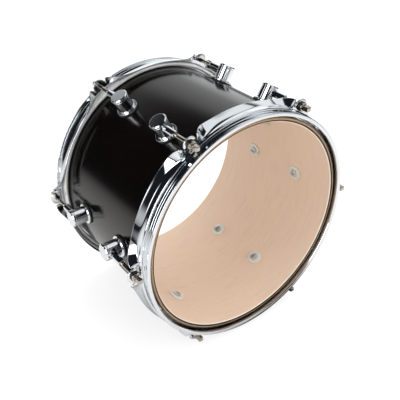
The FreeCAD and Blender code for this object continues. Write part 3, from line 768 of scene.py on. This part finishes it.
def lugShape():
    size = lugSizes
    top = rodRadius + size["crown"]
    footTop, capSeat = lugSeat + size["footHeight"], top - size["capHeight"]
    bodyTop = capSeat - size["neckHeight"]
    outline = roundCorners([
        (lugSeat, 0), (lugSeat, size["foot"]), (footTop, size["foot"]), (footTop, size["body"]),
        (bodyTop, size["body"]), (bodyTop, size["neck"]), (capSeat, size["neck"]), (capSeat, size["cap"]),
        (top - size["bevel"], size["cap"]), (top, size["cap"] - size["bevel"]), (top, 0),
    ], size["rounds"])
    mesh = gridMesh("lug", turnedOnPost(outline, size["segments"]), closedProfile=False)
    centre = (rodRadius, (size["sleeveTail"] - size["boreReach"]) / 2, 0)
    boreLength = size["boreReach"] + size["sleeveTail"]
    return bored(mesh, [pin(centre, (0, 1, 0), size["sleeveBore"], boreLength, size["boreSegments"])])


def sleeveShape():
    size = sleeveSizes
    mouth = -size["reach"]
    tube = roundCorners([
        (size["outer"] - size["bevel"], mouth), (size["outer"], size["bevel"] + mouth),
        (size["outer"], size["tail"]), (size["bore"], size["tail"]),
        (size["bore"], size["sink"] + mouth), (size["bore"] + size["sink"], mouth),
    ], size["rounds"], size["steps"], closed=True)
    return gridMesh("sleeve", turnedAlong(tube, size["segments"], rodRadius))


def padShape():
    size = padSizes
    section = roundCorners([(size["hole"], 0), (size["outer"], 0), (size["outer"], 1), (size["hole"], 1)],
                           size["rounds"], size["steps"], closed=True)
    pad = seatGrid(section, shellRadius + size["play"], lugSeat, size["segments"])
    return gridMesh("pads", atEveryLug(pad))


def makeLugs():
    chrome = makeFinish("lugChrome", lugFinish)
    rubber = makeFinish("padRubber", padFinish)
    lugMesh, sleeveMesh = lugShape(), sleeveShape()
    for end in ends:
        for index, angle in enumerate(lugAngles, 1):
            stand = lugPlace(end, angle)
            place(moved(lugMesh, stand), f"{end}_lug_{index}", chrome)
            place(moved(sleeveMesh, stand), f"{end}_lug_sleeve_{index}", chrome)
    place(padShape(), "lug_gaskets", rubber)


makeLugs()
print("lugs made")

# Inside the shell: a nylon washer and a cross-head screw behind every lug
insideSizes = {
    "washer": 10.5, "washerHole": 2.65, "washerSheet": 2.2, "head": 5.5, "headHeight": 3.2, "shank": 2.45,
    "screwEnd": 160.0, "domeHeight": 0.9, "domeInset": 0.25, "domeFoot": 1.1, "domeRows": 18,
    "crossArm": 3.1, "crossHalf": 0.8, "crossDepth": 1.5, "sideBlur": 0.15, "endBlur": 0.3,
    "screwRounds": (0, 0.15, 0.1, 0.4, 0), "screwSteps": 4,
    "washerRounds": (0.1, 0.15, 0.4, 0.2), "washerSteps": 5, "segments": 64,
}
nylonFinish = {"colour": (0.66, 0.68, 0.64), "tint": (0.60, 0.61, 0.57), "gloss": (0.35, 0.5),
               "smears": 60, "lines": 900, "bump": 0.05, "metallic": 0.0}
screwFinish = {"colour": (0.58, 0.58, 0.57), "tint": (0.48, 0.48, 0.47), "gloss": (0.3, 0.45),
               "smears": 200, "lines": 900, "bump": 0.05, "metallic": 0.6}


def screwGrid():
    # Head and shank in rows about local X; the head's dome drops by crossDepth where the smaller
    # of |y|, |z| is within half an arm's width and the larger within its length.
    size = insideSizes
    seat = shellRadius - shellSizes["wall"] - size["washerSheet"]
    top, rows, end = seat - size["headHeight"], size["domeRows"], size["screwEnd"]
    share = np.linspace(0, 1, rows)
    domeEdge = size["head"] - size["domeInset"]
    dome = np.stack([top + size["domeHeight"] * share ** 2, domeEdge * share], -1)
    rest = roundCorners([
        (top + size["domeFoot"], size["head"]), (seat, size["head"]), (seat, size["shank"]),
        (end, size["shank"]), (end, 0),
    ], size["screwRounds"], size["screwSteps"])
    grid = turnedOnPost(np.concatenate([dome, rest]), size["segments"])
    across = np.sort(np.abs(grid[:, :rows, 1:]), -1)
    near = np.clip((size["crossHalf"] - across[..., 0]) / size["sideBlur"] + 0.5, 0, 1)
    inside = np.clip((size["crossArm"] - across[..., 1]) / size["endBlur"] + 0.5, 0, 1)
    grid[:, :rows, 0] += size["crossDepth"] * near * inside
    return grid


def makeInside():
    size = insideSizes
    bore = shellRadius - shellSizes["wall"]
    nylon = makeFinish("washerNylon", nylonFinish)
    zinc = makeFinish("screwZinc", screwFinish)
    section = roundCorners([
        (size["washerHole"], 0), (size["washer"], 0), (size["washer"], 1), (size["washerHole"], 1),
    ], size["washerRounds"], size["washerSteps"], closed=True)
    washer = seatGrid(section, bore - padSizes["play"], bore - size["washerSheet"], size["segments"])
    place(gridMesh("innerWashers", atEveryLug(washer)), "lug_inner_washers", nylon)
    place(gridMesh("screws", atEveryLug(screwGrid()), closedProfile=False), "lug_screws", zinc)


makeInside()
print("inside fittings made")

# Air vent: an eyelet rolled over on both faces of the shell
ventSizes = {
    "bore": 3.5, "tube": 4.8, "flange": 8.0, "sheet": 1.4, "lip": 7.0, "seat": 0.25,
    "rounds": (0.9, 0.6, 0.3, 0.1, 0.1, 0.3, 0.9, 1.1), "segments": 56,
}
ventFinish = {"colour": (0.80, 0.81, 0.82), "tint": (0.74, 0.75, 0.76), "gloss": (0.05, 0.12),
              "smears": 80, "lines": 600, "bump": 0.02, "metallic": 1.0}


def makeVent():
    size = ventSizes
    inside = shellRadius - shellSizes["wall"] - size["seat"]
    lipFace, flangeFace = inside - size["sheet"], shellRadius + size["sheet"]
    outline = roundCorners([
        (lipFace, size["bore"]), (lipFace, size["lip"]), (inside, size["lip"]), (inside, size["tube"]),
        (shellRadius, size["tube"]), (shellRadius, size["flange"]),
        (flangeFace, size["flange"]), (flangeFace, size["bore"]),
    ], size["rounds"], closed=True)
    mesh = gridMesh("vent", turnedOnPost(outline, size["segments"]))
    axis = Matrix.Translation((0, 0, axisHeight * mm))
    turn = axis @ Matrix.Rotation(math.radians(shellSizes["ventAngle"] - 90), 4, "Y")
    place(moved(mesh, turn), "vent_grommet", makeFinish("ventChrome", ventFinish))


makeVent()
print("vent made")

# Studio: white floor, soft light, and a world whose panels show in the chrome; its lengths are in metres
studio = {
    "floorRadius": 4.0, "floorSegments": 128, "floorGrey": 0.26, "floorLift": 0.78,
    "bounceGrey": 0.86, "glossGrey": 0.66, "fade": (0.5, 2.4), "ambient": 1.16,
    "paintedShadowAt": (0.08, 0.12), "paintedShadowWide": (0.20, 0.34), "paintedShadowEdge": (0.7, 1.05),
    "dark": (0.010, 0.012, 0.016), "panelTint": (0.96, 0.985, 1.0),
}
# Compass in degrees from +Y towards +X, rise in degrees over the horizon.
# Wide is half the width; soft and edge are half of the blur at the sides and at bottom and top.
panels = {
    "backdrop": {"compass": 43, "wide": 51, "soft": 8, "rise": (17, 35.5), "edge": 3.5, "level": 1.0},
    "low back": {"compass": 20, "wide": 29, "soft": 4, "rise": (-6, 17), "edge": 5, "level": 1.4},
    "left strip": {"compass": -62, "wide": 4, "soft": 2, "rise": (2, 26), "edge": 5, "level": 2.5},
    "far left": {"compass": -72, "wide": 13, "soft": 8, "rise": (-3, 9), "edge": 5, "level": 0.55},
    "left": {"compass": -106, "wide": 14, "soft": 6, "rise": (-14, 38), "edge": 4, "level": 5.5},
    "low front": {"compass": -162, "wide": 12, "soft": 6, "rise": (-14, 19), "edge": 4, "level": 1.0},
    "front right": {"compass": 147, "wide": 20, "soft": 8, "rise": (-14, 26), "edge": 6, "level": 1.0},
    "overhead": {"compass": 92, "wide": 52, "soft": 12, "rise": (40, 80), "edge": 2, "level": 0.95},
}
lamps = {
    "overhead": {"at": (0.35, 0.15, 1.7), "to": (0, 0, 0.15), "size": 1.6, "watts": 15},
    "front": {"at": (0.5, -1.7, 0.9), "to": (0, 0, 0.14), "size": 1.0, "watts": 11},
}


def backgroundRay(tree):
    # One for the rays that should meet the white background: sight, also through the film.
    path = addNode(tree, "ShaderNodeLightPath").outputs
    sight = math2(tree, "ADD", path["Is Camera Ray"], path["Is Transmission Ray"], clamp=True)
    return path["Is Glossy Ray"], sight


def makeFloor():
    # Flat disc: two rings of points, the outer one at the floor's radius and the inner one at its middle.
    radius = np.array([studio["floorRadius"], 0.0]) / mm
    angle = fullTurn(studio["floorSegments"])
    flat = np.zeros((studio["floorSegments"], len(radius)))
    points = np.stack([radius * np.cos(angle), radius * np.sin(angle), flat], -1)
    floor = bpy.data.objects.new("studioFloor", gridMesh("studioFloor", points, closedProfile=False))
    bpy.context.scene.collection.objects.link(floor)
    material = bpy.data.materials.new("studioFloor")
    material.use_nodes = True
    tree = material.node_tree
    tree.nodes.clear()
    # Sight meets a lifted white with a soft shadow. Gloss meets plain paper that falls off
    # into the dark room, with a painted shadow in an ellipse under and behind the drum.
    glossy, sight = backgroundRay(tree)
    spot = addNode(tree, "ShaderNodeTexCoord").outputs["Object"]
    # Painted shadow for gloss: dark inside an ellipse under and behind the drum.
    under = addNode(tree, "ShaderNodeMapping", {
        "Vector": spot, "Location": (*studio["paintedShadowAt"], 0), "Scale": (*studio["paintedShadowWide"], 1),
    }, vector_type="TEXTURE").outputs[0]
    lost = math2(tree, "MAXIMUM", ramp(tree, vectorLength(tree, spot), *studio["fade"]),
                 ramp(tree, vectorLength(tree, under), *studio["paintedShadowEdge"], 1.0, 0.0))
    fading = mixColour(tree, lost, grey(studio["glossGrey"]), opaque(studio["dark"]))
    shade = mixColour(tree, glossy, grey(studio["bounceGrey"]), fading)
    shade = mixColour(tree, sight, shade, grey(studio["floorGrey"]))
    paper = addNode(tree, "ShaderNodeBsdfDiffuse", {"Color": shade})
    lifted = math2(tree, "MULTIPLY", sight, studio["floorLift"])
    lift = addNode(tree, "ShaderNodeEmission", {"Strength": lifted})
    both = addNode(tree, "ShaderNodeAddShader", {0: paper.outputs[0], 1: lift.outputs[0]})
    addNode(tree, "ShaderNodeOutputMaterial", {"Surface": both.outputs[0]})
    floor.data.materials.append(material)


def cosine(degrees):
    return math.cos(math.radians(degrees))


def sine(degrees):
    return math.sin(math.radians(degrees))


def makeWorld():
    # Gloss sees the panels in a dark room, sight and glass see white, all else a plain soft light.
    world = bpy.data.worlds.new("studio")
    bpy.context.scene.world = world
    world.use_nodes = True
    tree = world.node_tree
    tree.nodes.clear()
    direction = addNode(tree, "ShaderNodeTexCoord").outputs["Generated"]
    x, y, z = addNode(tree, "ShaderNodeSeparateXYZ", {0: direction}).outputs
    level = addNode(tree, "ShaderNodeCombineXYZ", {0: x, 1: y, 2: 0.0}).outputs[0]
    level = addNode(tree, "ShaderNodeVectorMath", {0: level}, operation="NORMALIZE").outputs[0]
    room = opaque(studio["dark"])
    for panel in panels.values():
        aim = (sine(panel["compass"]), cosine(panel["compass"]), 0.0)
        facing = addNode(tree, "ShaderNodeVectorMath", {0: level, 1: aim}, operation="DOT_PRODUCT")
        wide, soft, edge = panel["wide"], panel["soft"], panel["edge"]
        low, high = panel["rise"]
        mask = ramp(tree, facing.outputs["Value"], cosine(wide + soft), cosine(wide - soft))
        belowTop = ramp(tree, z, sine(high - edge), sine(high + edge), 1.0, 0.0)
        overFoot = ramp(tree, z, sine(low - edge), sine(low + edge))
        mask = math2(tree, "MULTIPLY", math2(tree, "MULTIPLY", mask, belowTop), overFoot)
        light = opaque(value * panel["level"] for value in studio["panelTint"])
        room = mixColour(tree, mask, room, light)
    glossy, sight = backgroundRay(tree)
    ambient = addNode(tree, "ShaderNodeBackground", {"Color": grey(1), "Strength": studio["ambient"]})
    gloss = addNode(tree, "ShaderNodeBackground", {"Color": room, "Strength": 1.0})
    white = addNode(tree, "ShaderNodeBackground", {"Color": grey(1), "Strength": 1.0})
    plain = addNode(tree, "ShaderNodeMixShader", {0: glossy, 1: ambient.outputs[0], 2: gloss.outputs[0]})
    shown = addNode(tree, "ShaderNodeMixShader", {0: sight, 1: plain.outputs[0], 2: white.outputs[0]})
    addNode(tree, "ShaderNodeOutputWorld", {"Surface": shown.outputs[0]})


def makeLamps():
    for name, lamp in lamps.items():
        data = bpy.data.lights.new(name, "AREA")
        data.shape, data.size, data.energy = "DISK", lamp["size"], lamp["watts"]
        item = bpy.data.objects.new(name, data)
        bpy.context.scene.collection.objects.link(item)
        item.location = lamp["at"]
        aim = Vector(lamp["to"]) - Vector(lamp["at"])
        item.rotation_euler = aim.to_track_quat("-Z", "Y").to_euler()
        item.visible_glossy = False


makeFloor()
makeWorld()
makeLamps()
bpy.context.scene.view_settings.view_transform = "Standard"
print("studio made")

# Camera, set from the middle of the batter rim; clipStart is in metres
cameraSizes = {"lens": 52.97, "sensor": 36, "clipStart": 0.01, "azimuth": -36.01, "elevation": 32.35,
               "fromRim": (-419.5, -460.1, 439.4)}


def makeCamera():
    size = cameraSizes
    data = bpy.data.cameras.new("camera")
    data.lens, data.sensor_width, data.clip_start = size["lens"], size["sensor"], size["clipStart"]
    camera = bpy.data.objects.new("camera", data)
    bpy.context.scene.collection.objects.link(camera)
    camera.location = (Vector((0, -rimY, axisHeight)) + Vector(size["fromRim"])) * mm
    camera.rotation_euler = (math.radians(90 - size["elevation"]), 0, math.radians(size["azimuth"]))
    bpy.context.scene.camera = camera


makeCamera()
print("camera set")
